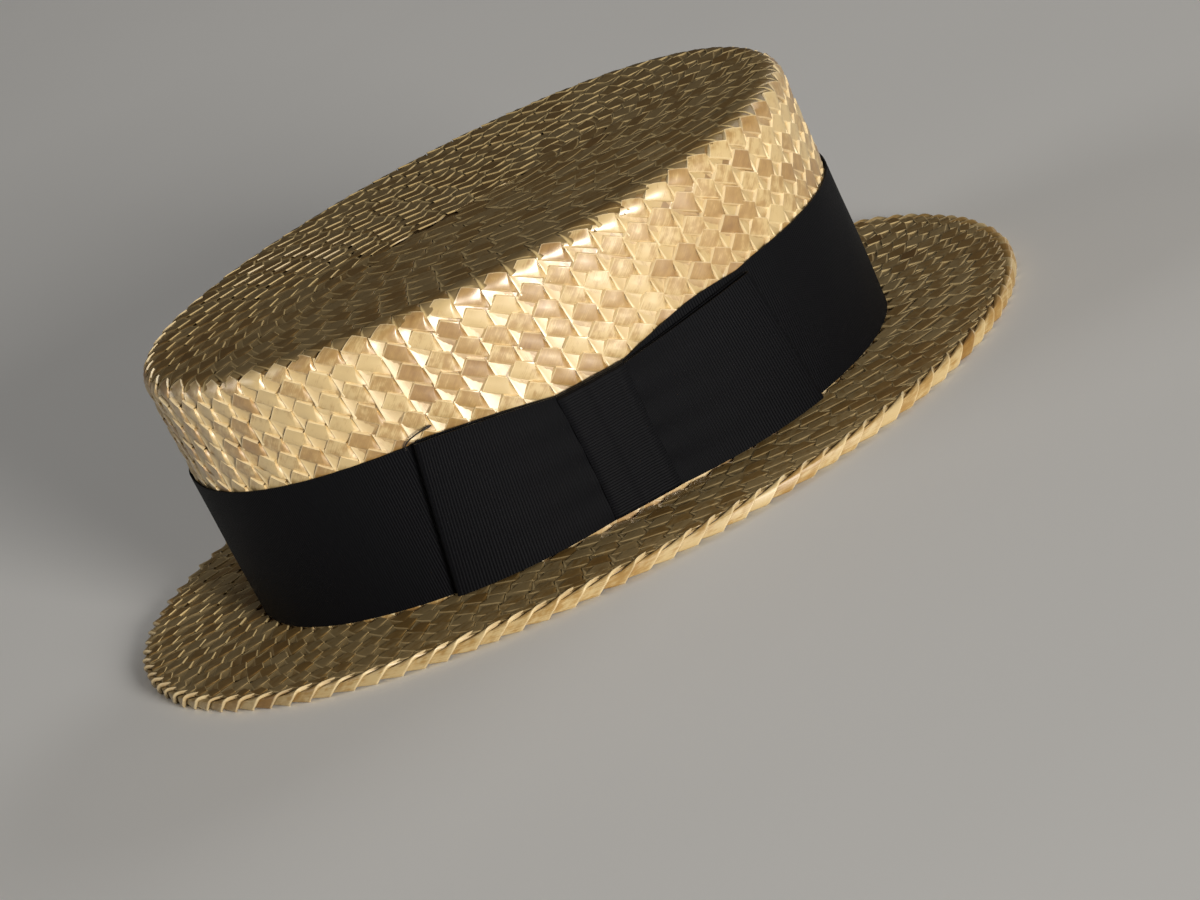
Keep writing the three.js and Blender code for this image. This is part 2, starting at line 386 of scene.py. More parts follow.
def on_tip(run):
    """1 on the flat of the crown's tip and 0 on its side."""
    return np.clip((TIP_RUN - 0.2 - run) / 0.8, 0, 1)


def crown_top_shade(run):
    return TIP_TOP_SHADE * on_tip(run)


def brim_top_shade(run):
    return np.full(run.shape, BRIM_TOP_SHADE)


def crown_relief(run):
    return SIDE_RELIEF - (SIDE_RELIEF - TIP_RELIEF) * on_tip(run)


def brim_relief(run):
    return np.full(run.shape, BRIM_RELIEF)


PAINTED_TOP_SHADE = {crown_surface: crown_top_shade, brim_surface: brim_top_shade}
RELIEF = {crown_surface: crown_relief, brim_surface: brim_relief, brim_underside: brim_relief}

STRAW_TONES = (0.47, 0.62)  # from brown straw, 0, to pale, 1
STRAW_CELLS = 45  # a straw is this many cells long
CELL_TONE_SPREAD = 0.06
BROWN_CELLS = 0.015  # share of the cells that are much browner
BROWNER = 0.28
# Crossing straws paler and floats browner: partly the straw's paler inner side, partly painted light,
# the contrast a side light gives them.
FAN_PALER, FLOAT_BROWNER = 0.15, 0.09


def straw_tones(count):
    """A tone for each cell: three straws take turns, and each keeps about the same colour."""
    straws = rng.uniform(*STRAW_TONES, (3, count // STRAW_CELLS + 2))
    cell = np.arange(count + 1)
    tone = straws[cell % 3, cell // STRAW_CELLS] + rng.normal(0, CELL_TONE_SPREAD, count + 1)
    tone -= BROWNER * (rng.uniform(0, 1, count + 1) < BROWN_CELLS)
    return np.clip(tone, 0, 1)


# Hand laying: a slow drift of the cells along their round and up it, and small differences between
# neighbours. All but NEIGHBOUR_RISE, a share of the exposed width, are in millimetres.
DRIFT_LENGTH = 40.0
DRIFT_ALONG, DRIFT_UP = 1.1, 0.22
NEIGHBOUR_SLIP, NEIGHBOUR_RISE = 0.28, 0.04
FLOAT_TILT_ALONG, FLOAT_TILT_UP, FLOAT_PUFF = 0.26, 0.22, 0.08
FAN_TILT_UP, FAN_TILT_ALONG = 0.16, 0.2


def slow_drift(path, places, size):
    """A smooth error of laying, for places along a path, that comes and goes as hands lay it."""
    length = path["end"] - path["start"]
    knots = max(4, int(length // DRIFT_LENGTH))
    drift = rng.normal(0, size, knots)
    return np.interp((places - path["start"]) / length * knots, np.arange(knots), drift, period=knots)


def lay_cells(surface, path, tile, exposed=EXPOSED, count=None, sink=0.0):
    """A cell laid again and again along a path, with small differences between cells."""
    length = path["end"] - path["start"]
    count = count or int(length // PITCH) - 1
    step = length / count if path["run"][0] == path["run"][-1] else PITCH
    starts = path["start"] + step * np.arange(count)
    along, up, lift = tile["points"].T
    vary = rng.normal(0, 1, (7, count, 1))
    shift = slow_drift(path, starts, DRIFT_ALONG)[:, None]
    distance = starts[:, None] + step * along + shift + NEIGHBOUR_SLIP * vary[0]
    angle = np.interp(distance, path["along"], path["angle"])
    run = np.interp(distance, path["along"], path["run"]) - exposed * (up + NEIGHBOUR_RISE * vary[1])
    run = run + slow_drift(path, starts, DRIFT_UP)[:, None]
    float_tilt = FLOAT_TILT_ALONG * vary[2] * (along - FLOAT_PIVOT[0])
    float_tilt = float_tilt + FLOAT_TILT_UP * vary[3] * (up - FLOAT_PIVOT[1])
    float_tilt = float_tilt + FLOAT_PUFF * vary[4] * tile["swell"]
    fan_tilt = FAN_TILT_UP * vary[5] * (up - FAN_PIVOT[1])
    fan_tilt = fan_tilt + FAN_TILT_ALONG * vary[6] * (along - FAN_PIVOT[0])
    start_run = np.interp(starts, path["along"], path["run"])
    relief = RELIEF[surface](start_run) if surface in RELIEF else np.ones(count)
    tilt = np.where(tile["strand"] == FLOAT_STRAND, float_tilt, fan_tilt)
    lift = np.clip(relief[:, None] * (lift + tilt) - sink, -DEPTH_LIMIT, LIFT_LIMIT)
    points = surface(angle, run, lift)
    tones = straw_tones(count)
    on_fan = tile["strand"] == FAN_STRAND
    # partly painted light: fans paler, floats browner
    tone = np.where(on_fan, tones[1:, None] + FAN_PALER, tones[:-1, None] - FLOAT_BROWNER)
    tone = np.clip(tone + CELL_TONE_SPREAD * rng.normal(0, 1, (count, 1)), 0, 1)
    fibre = fibre_places(tile, count)
    top_shade = PAINTED_TOP_SHADE[surface](start_run) if surface in PAINTED_TOP_SHADE else np.zeros(count)
    return {
        "points": points.reshape(-1, 3),
        "faces": tile_faces(tile, count),
        "smooth": np.tile(tile["smooth"], count),
        "rim": np.tile(tile["rim"], count),
        "tone": np.broadcast_to(tone, (count, len(along))).ravel(),
        # painted shade: straw lying deep below the surface is darkened in the material
        "deep": np.clip(-lift / FULLY_DEEP, 0, 1).ravel(),
        "wear_and_top_shade": np.broadcast_to(top_shade[:, None], lift.shape).ravel(),
        "fibre": fibre,
    }


def tile_faces(tile, count):
    size = len(tile["points"])
    return [
        tuple(int(corner) + cell * size for corner in face)
        for cell in range(count)
        for face in tile["faces"]
    ]


def fibre_places(tile, count):
    """Where each point lies along and across its straw, in millimetres, for the grain."""
    place = tile["points"][:, :2] * (PITCH, EXPOSED)
    pairs = []
    for way in (FLOAT_FIBRE, FAN_FIBRE):
        unit = np.array(way) / np.hypot(*way)
        pairs.append(np.stack([place @ unit, place @ (-unit[1], unit[0])], axis=1))
    on_float = (tile["strand"] == FLOAT_STRAND)[:, None]
    pair = np.where(on_float, pairs[0], pairs[1])
    offset = rng.uniform(0, 200, (count, 3, 2))[:, tile["strand"].astype(int)]
    return (pair + offset).reshape(-1, 2)


def joined(parts):
    """Several laid stretches as one."""
    whole = {key: np.concatenate([part[key] for part in parts]) for key in parts[0] if key != "faces"}
    faces, first = [], 0
    for part in parts:
        faces += [tuple(corner + first for corner in face) for face in part["faces"]]
        first += len(part["points"])
    return {**whole, "faces": faces}


def split_at_turn(laid, path, turn, tile):
    """One laid stretch as two, parted between the cells at a turn of the spiral."""
    length = np.interp(2 * math.pi * turn, path["angle"], path["along"])
    cells = int(length / PITCH)
    corner, face = cells * len(tile["points"]), cells * len(tile["faces"])
    halves = []
    for corners, faces in ((slice(0, corner), slice(0, face)), (slice(corner, None), slice(face, None))):
        half = {key: values[corners] for key, values in laid.items() if key not in ("faces", "smooth")}
        half["faces"] = [tuple(c - corners.start for c in f) for f in laid["faces"][faces]]
        half["smooth"] = laid["smooth"][faces]
        halves.append(half)
    return halves


WORN_FROM = 0.3  # straw whose wear and painted top shade number is above this takes the less varnished finish


def straw_piece(name, laid, node):
    """A piece of straw with its numbers for the material: varnished, and less varnished where it is worn
    or has painted top shade.
    """
    worn = laid["wear_and_top_shade"][[face[0] for face in laid["faces"]]] > WORN_FROM
    straw = worn_straw if worn.all() else fresh_straw
    piece = make_mesh(name, laid["points"], laid["faces"], straw, laid["smooth"], SHARP_EDGE)
    if worn.any() and not worn.all():
        piece.data.materials.append(worn_straw)
        piece.data.polygons.foreach_set("material_index", worn.astype(np.int32))
    add_number(piece, "rim", laid["rim"])
    add_number(piece, "tone", laid["tone"])
    add_number(piece, "deep", laid["deep"])
    add_number(piece, "wear_and_top_shade", laid["wear_and_top_shade"])
    add_uv(piece, "fibre", laid["fibre"])
    return part_of_hat(piece, "straw", node)


# ---- materials ----


class Nodes:
    """Small helper for building a material's node tree."""

    def __init__(self, name):
        self.material = bpy.data.materials.new(name)
        self.material.use_nodes = True
        self.tree = self.material.node_tree
        self.shader = self.tree.nodes["Principled BSDF"]

    def add(self, kind, inputs=None, **settings):
        node = self.tree.nodes.new(kind)
        for key, value in settings.items():
            setattr(node, key, value)
        for key, value in (inputs or {}).items():
            if isinstance(value, bpy.types.NodeSocket):
                self.tree.links.new(value, node.inputs[key])
            else:
                node.inputs[key].default_value = value
        return node

    def link(self, source, target):
        self.tree.links.new(source, self.shader.inputs[target])

    def number(self, name):
        return self.add("ShaderNodeAttribute", attribute_name=name).outputs["Fac"]

    def math(self, operation, first, second=0.0, clamp=False):
        node = self.add("ShaderNodeMath", {0: first, 1: second}, operation=operation)
        node.use_clamp = clamp
        return node.outputs[0]

    def mix(self, share, first, second):
        inputs = {0: share, 6: first, 7: second}
        return self.add("ShaderNodeMix", inputs, data_type="RGBA").outputs[2]

    def ramp(self, share, stops):
        node = self.add("ShaderNodeValToRGB", {0: share})
        elements = node.color_ramp.elements
        while len(elements) < len(stops):
            elements.new(0.5)
        for element, (position, colour) in zip(elements, stops):
            element.position = position
            element.color = (*colour, 1)
        return node.outputs[0]

    def noise(self, vector, scale, detail=3.0, roughness=0.55):
        inputs = {"Vector": vector, "Scale": scale, "Detail": detail, "Roughness": roughness}
        return self.add("ShaderNodeTexNoise", inputs).outputs[0]

    def bump(self, strength, distance, height):
        inputs = {"Strength": strength, "Distance": distance, "Height": height}
        self.link(self.add("ShaderNodeBump", inputs).outputs[0], "Normal")

    def scaled(self, vector, scale):
        return self.add("ShaderNodeMapping", {"Vector": vector, "Scale": scale}).outputs[0]


BROWN = (0.17, 0.075, 0.016)
AMBER = (0.31, 0.165, 0.042)
HONEY = (0.44, 0.275, 0.095)
GOLD = (0.64, 0.49, 0.25)
# pale crease colour: partly creased straw, partly painted highlight
PALE_CREASE_AND_HIGHLIGHT = (0.88, 0.76, 0.52, 1)
# painted shade colour for straw that sits deep
SHADED = (0.16, 0.08, 0.018, 1)
# painted shade colour for the top-facing tip and brim top
OLIVE = (0.1, 0.058, 0.014, 1)
DULL_GOLD = (0.76, 0.58, 0.28, 1)
GRAIN_TONE, PATCH_TONE, BLOTCH_TONE = 0.45, 0.5, 0.5  # added to a cell's own tone
TONE_RANGE = 0.785  # brings the sum back into the range of the colours
CREASE_PALENESS, CREASE_DULLING = 0.74, 0.15  # how pale a crease is painted, partly the creased straw's own whitening and partly painted highlight, and how much of that wear and painted top shade take away
# painted shade: how far deep-lying straw is darkened towards the shaded colour
DEEP_SHADE = 0.6


def straw_material(name, shine, varnish):
    """Straw: fine grain, each straw its own tone, paler creases (partly painted highlight), darker where
    worn, and painted shade on the tip, brim top and deep straw.
    """
    nodes = Nodes(name)
    fibre = nodes.add("ShaderNodeUVMap", uv_map="fibre").outputs[0]
    grain = nodes.noise(nodes.scaled(fibre, (0.12, 5.0, 1)), 1.0, 4.0)
    patches = nodes.noise(nodes.scaled(fibre, (0.35, 0.5, 1)), 1.0, 2.0)
    place = nodes.add("ShaderNodeTexCoord").outputs["Object"]
    blotches = nodes.noise(place, 28.0, 3.0)
    tone = nodes.math("ADD", nodes.number("tone"), nodes.math("MULTIPLY", grain, GRAIN_TONE))
    tone = nodes.math("ADD", tone, nodes.math("MULTIPLY", patches, PATCH_TONE))
    tone = nodes.math("ADD", tone, nodes.math("MULTIPLY", blotches, BLOTCH_TONE))
    tone = nodes.math("MULTIPLY", tone, TONE_RANGE)
    colour = nodes.ramp(tone, [(0.45, BROWN), (0.7, AMBER), (0.9, HONEY), (1.0, GOLD)])
    # Painted shade: the top-facing tip and brim top are darkened towards olive; on the brim's edge the
    # same number is wear.
    wear_and_top_shade = nodes.math("MULTIPLY", nodes.number("wear_and_top_shade"), nodes.math("ADD", blotches, 0.55, True))
    colour = nodes.mix(wear_and_top_shade, colour, OLIVE)
    # Creases painted paler: partly the creased straw's own whitening, partly painted highlight; dulled
    # under wear and painted top shade.
    dulled = nodes.math("MULTIPLY", nodes.number("wear_and_top_shade"), CREASE_DULLING)
    paleness = nodes.math("SUBTRACT", CREASE_PALENESS, dulled)
    crease_and_highlight = nodes.math("MULTIPLY", nodes.math("POWER", nodes.number("rim"), 1.5), paleness)
    pale = nodes.mix(nodes.math("MULTIPLY", nodes.number("wear_and_top_shade"), 1.3, True), PALE_CREASE_AND_HIGHLIGHT, DULL_GOLD)
    colour = nodes.mix(crease_and_highlight, colour, pale)
    # Painted shade: straw that sits deep, and the backing ply, is darkened.
    sunk = nodes.math("POWER", nodes.number("deep"), 2.5)
    colour = nodes.mix(nodes.math("MULTIPLY", sunk, DEEP_SHADE), colour, SHADED)
    nodes.link(colour, "Base Color")
    nodes.link(nodes.ramp(grain, [(0.3, (0.3,) * 3), (0.75, (0.46,) * 3)]), "Roughness")
    nodes.bump(0.5, 0.06 * MM, grain)
    nodes.shader.inputs["Specular Tint"].default_value = (1.0, 0.98, 0.93, 1)
    nodes.shader.inputs["Specular IOR Level"].default_value = shine
    nodes.shader.inputs["Coat Weight"].default_value = varnish
    nodes.shader.inputs["Coat Tint"].default_value = (1.0, 0.94, 0.8, 1)
    nodes.shader.inputs["Coat Roughness"].default_value = 0.46
    nodes.shader.inputs["Coat IOR"].default_value = 2.1
    nodes.shader.inputs["IOR"].default_value = 1.6
    return nodes.material


RIB_PITCH, WARP_PITCH = 0.8, 0.32
RIB_WANDER, WARP_HEIGHT = 0.25, 0.22


def grosgrain_material():
    """Black grosgrain: ribs across the ribbon and fine warp along it, with a little lint."""
    nodes = Nodes("black_grosgrain")
    place = nodes.add("ShaderNodeUVMap", uv_map="weave").outputs[0]
    along = nodes.add("ShaderNodeSeparateXYZ", {0: place}).outputs[0]
    across = nodes.add("ShaderNodeSeparateXYZ", {0: place}).outputs[1]
    wander = nodes.noise(nodes.scaled(place, (0.4, 0.15, 1)), 1.0, 2.0)
    phase = nodes.math("MULTIPLY", wander, RIB_WANDER)
    turned = nodes.math("MULTIPLY", nodes.math("ADD", along, phase), 2 * math.pi / RIB_PITCH)
    ribs = nodes.math("SINE", turned)
    warp = nodes.math("SINE", nodes.math("MULTIPLY", across, 2 * math.pi / WARP_PITCH))
    height = nodes.math("ADD", ribs, nodes.math("MULTIPLY", warp, WARP_HEIGHT))
    lint = nodes.noise(nodes.scaled(place, (1.5, 1.5, 1)), 1.0, 5.0, 0.7)
    colour = nodes.ramp(lint, [(0.35, (0.0012, 0.0013, 0.0018)), (0.8, (0.004, 0.0042, 0.006))])
    nodes.link(colour, "Base Color")
    nodes.link(nodes.ramp(lint, [(0.3, (0.55,) * 3), (0.8, (0.75,) * 3)]), "Roughness")
    nodes.bump(0.6, 0.1 * MM, height)
    nodes.shader.inputs["Specular IOR Level"].default_value = 0.1
    return nodes.material


def floor_material():
    nodes = Nodes("pale_floor")
    place = nodes.add("ShaderNodeTexCoord").outputs["Object"]
    cloud = nodes.noise(place, 3.0, 3.0)
    nodes.link(nodes.ramp(cloud, [(0.3, (0.84, 0.84, 0.83)), (0.7, (0.87, 0.87, 0.86))]), "Base Color")
    nodes.shader.inputs["Roughness"].default_value = 0.7
    return nodes.material


fresh_straw = straw_material("varnished_straw", shine=1.0, varnish=0.9)
worn_straw = straw_material("worn_straw", shine=0.22, varnish=0.12)
grosgrain = grosgrain_material()


# ---- crown: one spiral of plait over the tip, round the shoulder and down the side ----

SPIRAL_FIRST_RUN = 2.3
FIRST_TURN = -1.0  # a turn early, so that the middle of the tip is covered
SHOULDER_TURN = 12  # the turn whose teeth stand at the shoulder
LAST_TURN = (FOOT_RUN - SPIRAL_FIRST_RUN) / EXPOSED - 0.2

tile = plait_tile()
plain_tile = plait_tile(PLAIN_LINES)
crown_path = spiral(crown_surface, SPIRAL_FIRST_RUN, EXPOSED, FIRST_TURN, LAST_TURN)
crown_cells = lay_cells(crown_surface, crown_path, tile)
tip_cells, side_cells = split_at_turn(crown_cells, crown_path, SHOULDER_TURN, tile)
straw_piece("crown_tip_straw", tip_cells, "crown")
straw_piece("crown_side_straw", side_cells, "crown")
inside_path = spiral(crown_inside, SPIRAL_FIRST_RUN, EXPOSED, FIRST_TURN, LAST_TURN)
straw_piece("crown_inside_straw", lay_cells(crown_inside, inside_path, plain_tile), "crown")


PLY_TONE = 0.4
CROWN_PLY = {"depths": (1.03, 1.1), "steps_round": 144}  # depths behind its outer and inner surface
BRIM_PLY = {"depths": (0.9, 0.9), "steps_round": 220}


def shell_between(name, node, outer, inner, runs, depths, steps_round):
    """A closed backing wall for the plait: one surface, round its foot, and back up the other."""
    angle = np.linspace(0, 2 * math.pi, steps_round, endpoint=False)
    rings = [outer(angle, np.full(steps_round, run), -depths[0]) for run in runs]
    rings += [inner(angle, np.full(steps_round, run), -depths[1]) for run in runs[::-1]]
    points = np.concatenate(rings)
    faces = []
    for ring in range(len(rings) - 1):
        for step in range(steps_round):
            beside = (step + 1) % steps_round
            a, b = ring * steps_round + step, ring * steps_round + beside
            faces.append((a, a + steps_round, b + steps_round, b))
    count = len(points)
    laid = {
        "points": points,
        "faces": faces,
        "smooth": np.ones(len(faces), bool),
        "rim": np.zeros(count),
        "tone": np.full(count, PLY_TONE),
        # painted shade: the backing ply is darkened as fully deep straw
        "deep": np.ones(count),
        "wear_and_top_shade": np.zeros(count),
        "fibre": points[:, :2] + points[:, 2:],
    }
    straw_piece(name, laid, node)


crown_runs = np.concatenate(
    [np.linspace(0.1, TIP_RUN, 8), TIP_RUN + np.linspace(0.2, 1, 5) * SHOULDER_RUN, [FOOT_RUN]]
)
shell_between("crown_inner_ply", "crown", crown_surface, crown_inside, crown_runs, **CROWN_PLY)

# ---- brim: closed rounds on the top and the underside ----

BRIM_ROUNDS = 6
BRIM_EXPOSED = BRIM_WIDTH / BRIM_ROUNDS
BRIM_PITCH = 7.9
EDGE_EXPOSED = 3.7
FIRST_ROUND_RUN = 0.3
ROUND_START_TURN = 1.7  # how far on round the brim each round starts
UNDERSIDE_SINK = 0.1


def brim_rounds(surface, rounds, tile, sink=0.0):
    """Closed rounds of plait: on the top the outermost one keeps step with the straws of the edge."""
    laid = []
    for number in range(rounds):
        outermost = number == BRIM_ROUNDS - 1
        path = closed_round(surface, number * BRIM_EXPOSED + FIRST_ROUND_RUN, ROUND_START_TURN * number)
        count = EDGE_POINTS if outermost else round((path["end"] - path["start"]) / BRIM_PITCH)
        exposed = EDGE_EXPOSED if outermost else BRIM_EXPOSED
        laid.append(lay_cells(surface, path, tile, exposed=exposed, count=count, sink=sink))
    return joined(laid)


straw_piece("brim_top_straw", brim_rounds(brim_surface, BRIM_ROUNDS, tile), "brim")
under_cells = brim_rounds(brim_underside, BRIM_ROUNDS - 1, plain_tile, UNDERSIDE_SINK)
straw_piece("brim_under_straw", under_cells, "brim")

# ---- brim edge: the straws of the last round, folded round under the brim ----

STRAP_LEAN = 1.4  # how far a strap moves along the edge for each millimetre of its own run
# The line that the middle of a strap follows: out from the nominal edge, and height.
STRAP_LINE = {
    "comes_out": (-4.3, BRIM_TOP - 1.3),
    "under_cells": (-3.2, BRIM_TOP - 0.75),
    "on_top": (-1.9, BRIM_TOP - 0.42),
    "top_edge": (-0.75, BRIM_TOP - 0.3),
    "upper_turn": (0.1, BRIM_TOP - 0.8),
    "middle": (0.05, BRIM_TOP / 2),
    "lower_turn": (-0.25, 0.9),
    "under_edge": (-0.95, 0.3),
    "under": (-3.6, 0.35),
    "goes_in": (-6.4, 0.8),
}
# Across a strap: place in pitches and how proud it stands, rising to the side that laps over.
STRAP_SECTION = {
    "tucked": (-0.14, -0.8),
    "comes_out": (0.0, -0.66),
    "low": (0.25, -0.38),
    "middle": (0.55, 0.08),
    "high": (0.8, 0.46),
    "fold": (0.88, 0.56),
    "rolled": (0.93, 0.34),
    "lip": (0.955, -0.45),
}
# pale paint along a strap's fold and rolled edge: partly creased straw, partly painted highlight
STRAP_RIM = (0.0, 0.0, 0.0, 0.0, 0.15, 0.8, 0.8, 0.4)
EDGE_AGE = 0.31  # handling has worn the edge a little
STRAP_PALER = 0.04
# Hand laying: how much the straps differ in how proud they stand and in their width, as shares, and
# how far they are shifted outwards and along the edge.
PROUD_SPREAD, WIDTH_SPREAD, OUT_SHIFT, ALONG_SHIFT = 0.15, 0.03, 0.05, 0.3
STRAP_OUT_LIMIT, STRAP_LOW_LIMIT = 0.9, 0.02
STRAP_SHADE = 0.3  # painted shade: how much browner a strap is at its upper end, where it comes out from under the cells


def smooth_line(corners, steps):
    """A curve through corners, as a Catmull-Rom spline."""
    points = np.array(corners, float)
    padded = np.concatenate([[2 * points[0] - points[1]], points, [2 * points[-1] - points[-2]]])
    place = np.linspace(0, len(points) - 1, steps)
    left = np.minimum(place.astype(int), len(points) - 2)
    share = (place - left)[:, None]
    a, b, c, d = (padded[left + k] for k in range(4))
    cubic = (2 * b) + (c - a) * share + (2 * a - 5 * b + 4 * c - d) * share**2
    return 0.5 * (cubic + (3 * b - a - 3 * c + d) * share**3)


def rim_line(angle, run, lift):
    x, y = oval(angle, FOOT_HALF[0] + run, FOOT_HALF[1] + run)
    return np.stack([x, y, np.broadcast_to(BRIM_TOP / 2, x.shape)], axis=-1)


def edge_straps():
    line = smooth_line(list(STRAP_LINE.values()), 22)
    travel = travelled(line)
    middle = travel[len(travel) // 2]
    slope = np.gradient(line, axis=0)
    normal = np.stack([-slope[:, 1], slope[:, 0]], axis=1)
    normal /= np.linalg.norm(normal, axis=1)[:, None]
    section = np.array(list(STRAP_SECTION.values()))
    path = closed_round(rim_line, BRIM_WIDTH)
    step = (path["end"] - path["start"]) / EDGE_POINTS
    starts = path["start"] + step * np.arange(EDGE_POINTS)
    vary = rng.normal(0, 1, (4, EDGE_POINTS, 1, 1))
    proud = section[:, 1] * (1 + PROUD_SPREAD * vary[0]) + OUT_SHIFT * vary[1]
    along = step * section[:, 0] * (1 + WIDTH_SPREAD * vary[2]) + ALONG_SHIFT * vary[3]
    along = along + STRAP_LEAN * (middle - travel)[:, None]
    angle = np.interp(starts[:, None, None] + along, path["along"], path["angle"])
    out = line[:, 0][:, None] + normal[:, 0][:, None] * proud
    height = line[:, 1][:, None] + normal[:, 1][:, None] * proud
    height = np.clip(height, STRAP_LOW_LIMIT, BRIM_TOP + LIFT_LIMIT)
    half = FOOT_HALF + BRIM_WIDTH + np.minimum(out, STRAP_OUT_LIMIT)[..., None]
    x, y = oval(angle, half[..., 0], half[..., 1])
    points = np.stack([x, y, height], axis=-1)
    rows, columns = len(line), len(section)
    number = np.arange(EDGE_POINTS * rows * columns).reshape(EDGE_POINTS, rows, columns)
    a, b = number[:, :-1, :-1], number[:, :-1, 1:]
    c, d = number[:, 1:, 1:], number[:, 1:, :-1]
    faces = np.stack([a, d, c, b], axis=-1).reshape(-1, 4)
    shape = (EDGE_POINTS, rows, columns)
    # painted shade near where the strap comes out from under the cells
    shade = STRAP_SHADE * np.linspace(1, 0, rows)[:, None] ** 2
    tone = straw_tones(EDGE_POINTS)[:-1, None, None] - shade
    tone = np.broadcast_to(tone + STRAP_PALER, shape)
    across = np.broadcast_to(section[:, 0] * step, shape)
    offset = rng.uniform(0, 200, (EDGE_POINTS, 1, 1, 2))
    fibre = np.stack([across, np.broadcast_to(travel[:, None], shape)], axis=-1) + offset
    return {
        "points": points.reshape(-1, 3),
        "faces": [tuple(face) for face in faces.tolist()],
        "smooth": np.ones(len(faces), bool),
        "rim": np.broadcast_to(STRAP_RIM, shape).ravel(),
        "tone": tone.ravel(),
        # painted shade: the tucked side of each strap is darkened
        "deep": np.broadcast_to(np.clip(-section[:, 1], 0, 1), shape).ravel(),
        "wear_and_top_shade": np.full(EDGE_POINTS * rows * columns, EDGE_AGE),
        "fibre": fibre.reshape(-1, 2),
    }


straw_piece("brim_edge_straw", edge_straps(), "brim_edge")
brim_runs = np.array([0.4, 20.0, BRIM_WIDTH - 1.2])
shell_between("brim_inner_ply", "brim", brim_surface, brim_underside, brim_runs, **BRIM_PLY)

# ---- ribbon: band, bow loops and knot ----

RIBBON = 0.55
RIBBON_TALL = (band_high - band_low)[2]
BOW_MIDDLE = (knot_low[1] + knot_high[1]) / 2
PINCH_BOTTOM, PINCH_FULL, PINCH_FADE = 1.0, 11.5, 18.0
TOP_LINE = 50.2  # the band's top edge away from the bow
TOP_DIP = 4.7  # how far it dips at the bow, more gently to the front than to the back
DIP_FRONT = {"starts": 10.0, "length": 34.0, "power": 1.6}
DIP_BACK = {"starts": 11.5, "length": 26.0, "power": 1.4}
DIP_AT_LOOP_END = (0.6, 52.0, 5.0)  # depth, place from the bow's middle, spread
BAND_OUT = 0.72  # the middle of the band's thickness, out from the crown's side
TOP_WAVER, BAND_RIPPLE, BAND_BULGE = 0.2, 0.05, 0.12
PINCH_FOLDS, PINCH_FOLD_COUNT = 0.22, 5


def thick_sheet(name, grid, weave, material, thickness=RIBBON, wrap=False):
    """A ribbon as a closed mesh: a grid of its middle, given a thickness along its normals."""
    rows, columns = grid.shape[:2]
    if wrap:
        ahead, behind = np.roll(grid, -1, axis=0), np.roll(grid, 1, axis=0)
    else:
        ahead = np.concatenate([grid[1:], grid[-1:]])
        behind = np.concatenate([grid[:1], grid[:-1]])
    normal = np.cross(ahead - behind, np.gradient(grid, axis=1))
    normal /= np.linalg.norm(normal, axis=-1, keepdims=True)
    front, back = grid + normal * thickness / 2, grid - normal * thickness / 2
    points = np.concatenate([front.reshape(-1, 3), back.reshape(-1, 3)])
    size = rows * columns
    faces = []
    for row in range(rows if wrap else rows - 1):
        after = (row + 1) % rows
        for column in range(columns - 1):
            a, b = row * columns + column, row * columns + column + 1
            c, d = after * columns + column + 1, after * columns + column
            faces += [(a, d, c, b), (size + a, size + b, size + c, size + d)]
        for column, flip in ((0, False), (columns - 1, True)):
            a, d = row * columns + column, after * columns + column
            side = (a, size + a, size + d, d)
            faces.append(side[::-1] if flip else side)
    if not wrap:
        for row, flip in ((0, True), (rows - 1, False)):
            for column in range(columns - 1):
                a, b = row * columns + column, row * columns + column + 1
                side = (a, size + a, size + b, b)
                faces.append(side[::-1] if flip else side)
    piece = make_mesh(name, points, faces, material, sharp_over=SHARP_EDGE)
    add_uv(piece, "weave", np.concatenate([weave.reshape(-1, 2)] * 2))
    return piece


def pinch_share(x, y):
    away = (np.abs(y - BOW_MIDDLE) - PINCH_FULL) / PINCH_FADE
    share = (1 + np.cos(math.pi * np.clip(away, 0, 1))) / 2
    return np.where(x > 0, share, 0)


def top_dip(x, y):
    """How far the band's top edge dips at places near the bow."""
    away = y - BOW_MIDDLE
    dip = np.zeros(away.shape)
    for side, shape in ((away < 0, DIP_FRONT), (away >= 0, DIP_BACK)):
        left = 1 - np.clip((np.abs(away) - shape["starts"]) / shape["length"], 0, 1)
        dip = np.where(side, TOP_DIP * left ** shape["power"], dip)
    depth, place, spread = DIP_AT_LOOP_END
    dip = dip + depth * np.exp(-(((away - place) / spread) ** 2))
    return np.where(x > 0, dip, 0)


def hat_band():
    """The band round the crown, with its edges drawn together and folded at the bow."""
    columns, rows = 15, 480
    angle = np.linspace(0, 2 * math.pi, rows, endpoint=False)[:, None]
    level = np.linspace(0, 1, columns)[None, :]
    plan = side_point(angle, np.full(angle.shape, band_low[2]), 0.0)
    share = pinch_share(plan[..., 0], plan[..., 1])
    low = band_low[2] + PINCH_BOTTOM * share
    high = TOP_LINE - top_dip(plan[..., 0], plan[..., 1])
    high = high + TOP_WAVER * np.sin(3 * angle + 1.0) * (1 - share)
    height = low + (high - low) * level
    ripple = BAND_RIPPLE * np.sin(9 * angle + 5 * level) + BAND_RIPPLE * np.sin(23 * angle - 9 * level)
    bulge = BAND_BULGE * np.sin(math.pi * level)
    folds = PINCH_FOLDS * share * np.sin(level * PINCH_FOLD_COUNT * 2 * math.pi + 0.6)
    grid = side_point(angle, height, BAND_OUT + ripple + bulge + folds)
    length = 2 * math.pi * FOOT_HALF.mean() * np.arange(rows) / rows
    weave = np.stack(np.broadcast_arrays(length[:, None], level * RIBBON_TALL), axis=-1)
    piece = thick_sheet("ribbon_band", grid, weave, grosgrain, wrap=True)
    return part_of_hat(piece, "ribbon", "hat_band"), length[-1]


